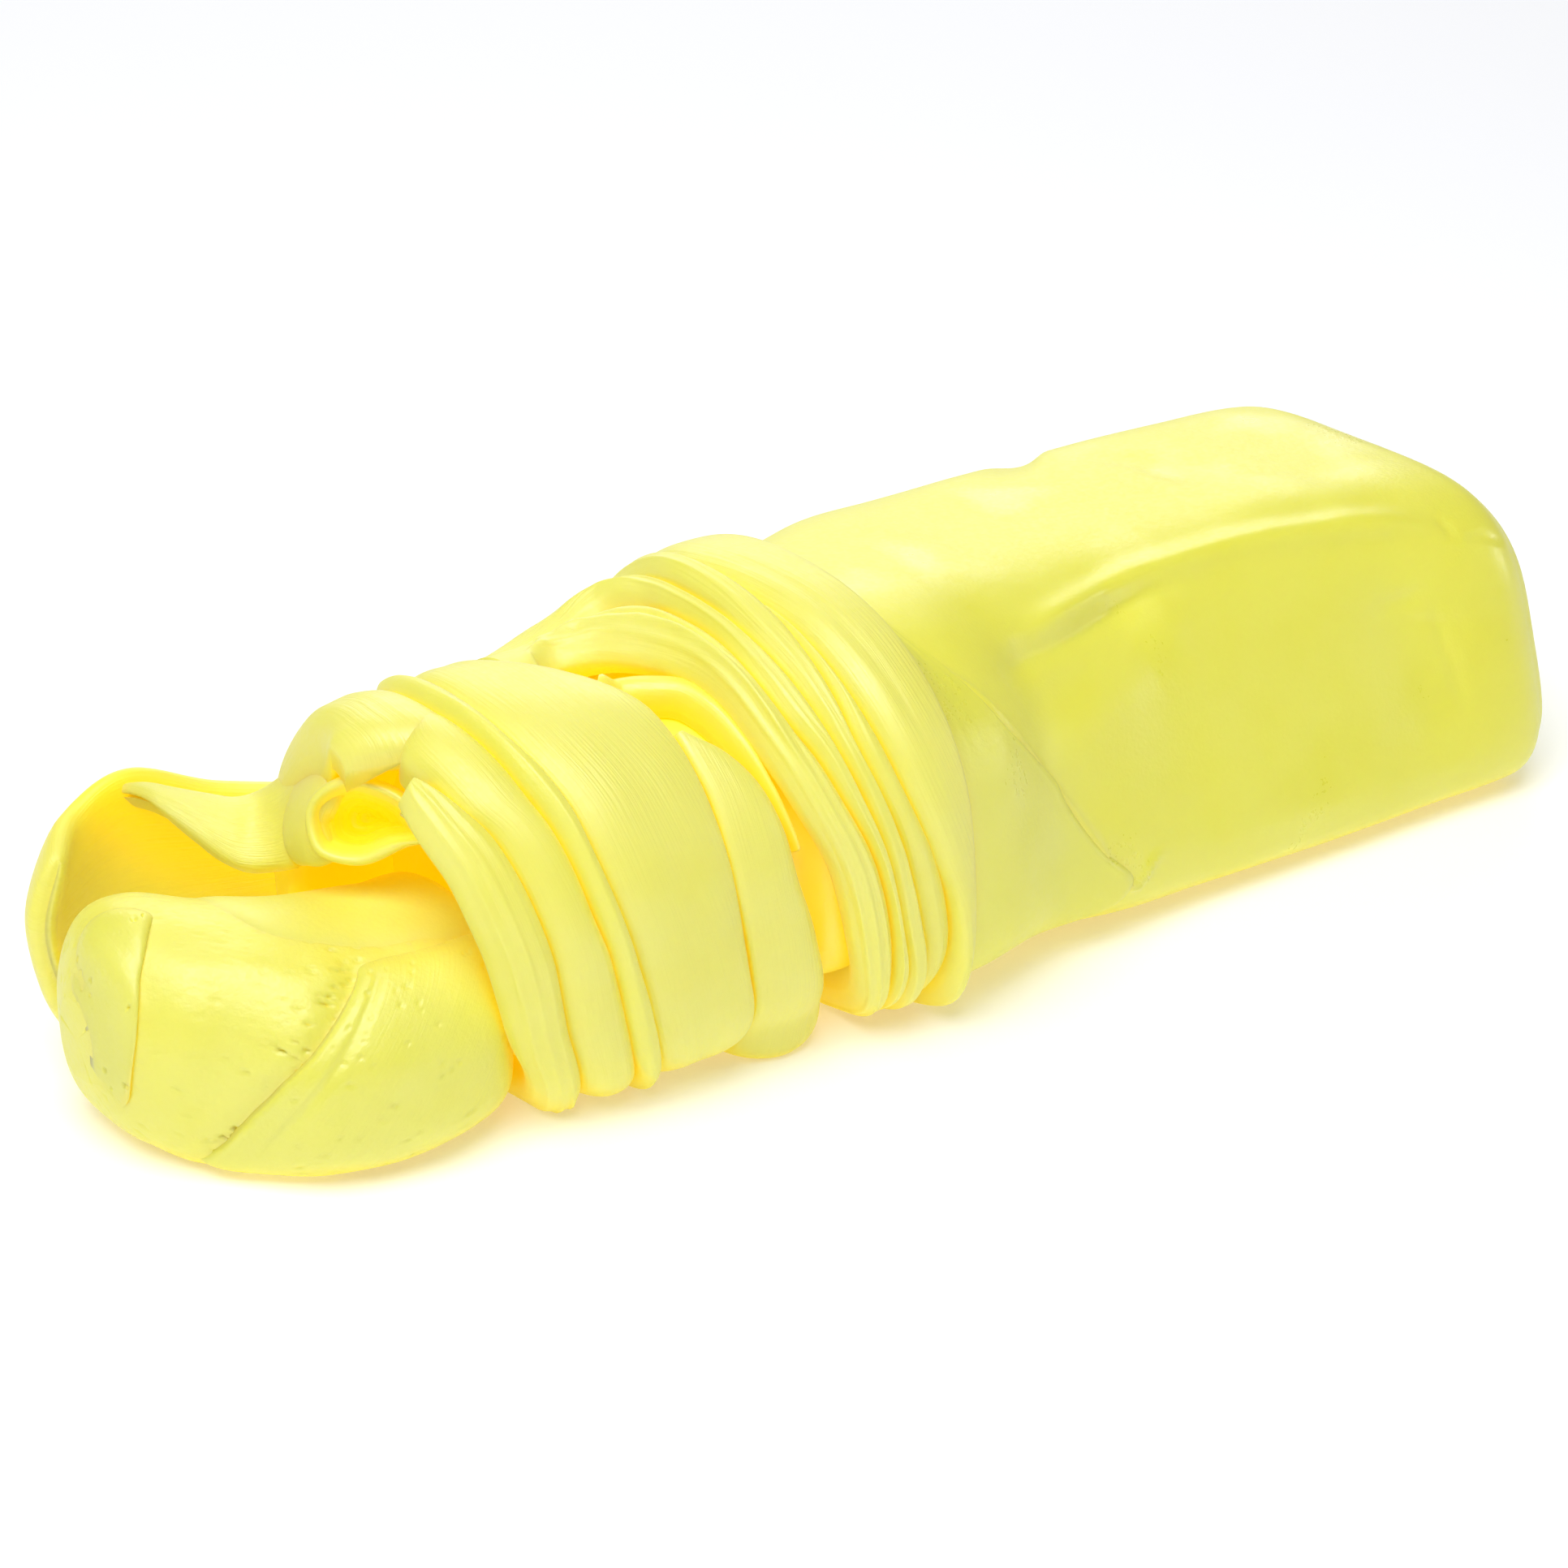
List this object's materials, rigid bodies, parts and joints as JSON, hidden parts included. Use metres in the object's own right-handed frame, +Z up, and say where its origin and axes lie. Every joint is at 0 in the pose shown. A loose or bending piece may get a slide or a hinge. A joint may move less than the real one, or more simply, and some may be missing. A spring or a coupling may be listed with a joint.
{
  "type": "detailing clay bar",
  "caption": "Pale yellow detailing clay bar: a rounded moulded block whose other end is twisted into pleats and folded over on itself.",
  "frame": {"origin": "centre of the bounding box's underside, on the resting surface", "axes": "+X along the bar towards its moulded end, +Z up, +Y towards the back, where the folded-over sheet stands"},
  "size_m": [0.1074, 0.0362, 0.0259],
  "materials": {
    "clay_moulded": "smooth moulded clay skin, satin with a few glossy pressed patches",
    "clay_drawn": "clay drawn out by twisting, satin, with fine parallel lamination lines",
    "clay_torn": "pressed and slightly torn clay, satin, with small pits beside its creases"
  },
  "bodies": {
    "root": {"bar_block": "clay_moulded", "shoulder_wrap": "clay_moulded", "collar_pleat_1": "clay_drawn", "collar_pleat_2": "clay_drawn", "collar_pleat_3": "clay_drawn", "collar_pleat_4": "clay_drawn", "collar_pleat_5": "clay_drawn", "neck_core": "clay_drawn", "inner_fold": "clay_drawn", "band_shelf": "clay_drawn", "broad_band": "clay_drawn", "seam_ridge": "clay_torn", "mid_pleat": "clay_drawn", "curl_strand": "clay_drawn", "lobe_core": "clay_drawn", "curl_roof": "clay_drawn", "curl_core": "clay_drawn", "rear_drape": "clay_drawn", "rear_loop": "clay_drawn", "valley_web": "clay_drawn", "front_lobe": "clay_torn", "lapped_fold": "clay_torn", "tip_cap": "clay_torn"}
  },
  "joints": []
}
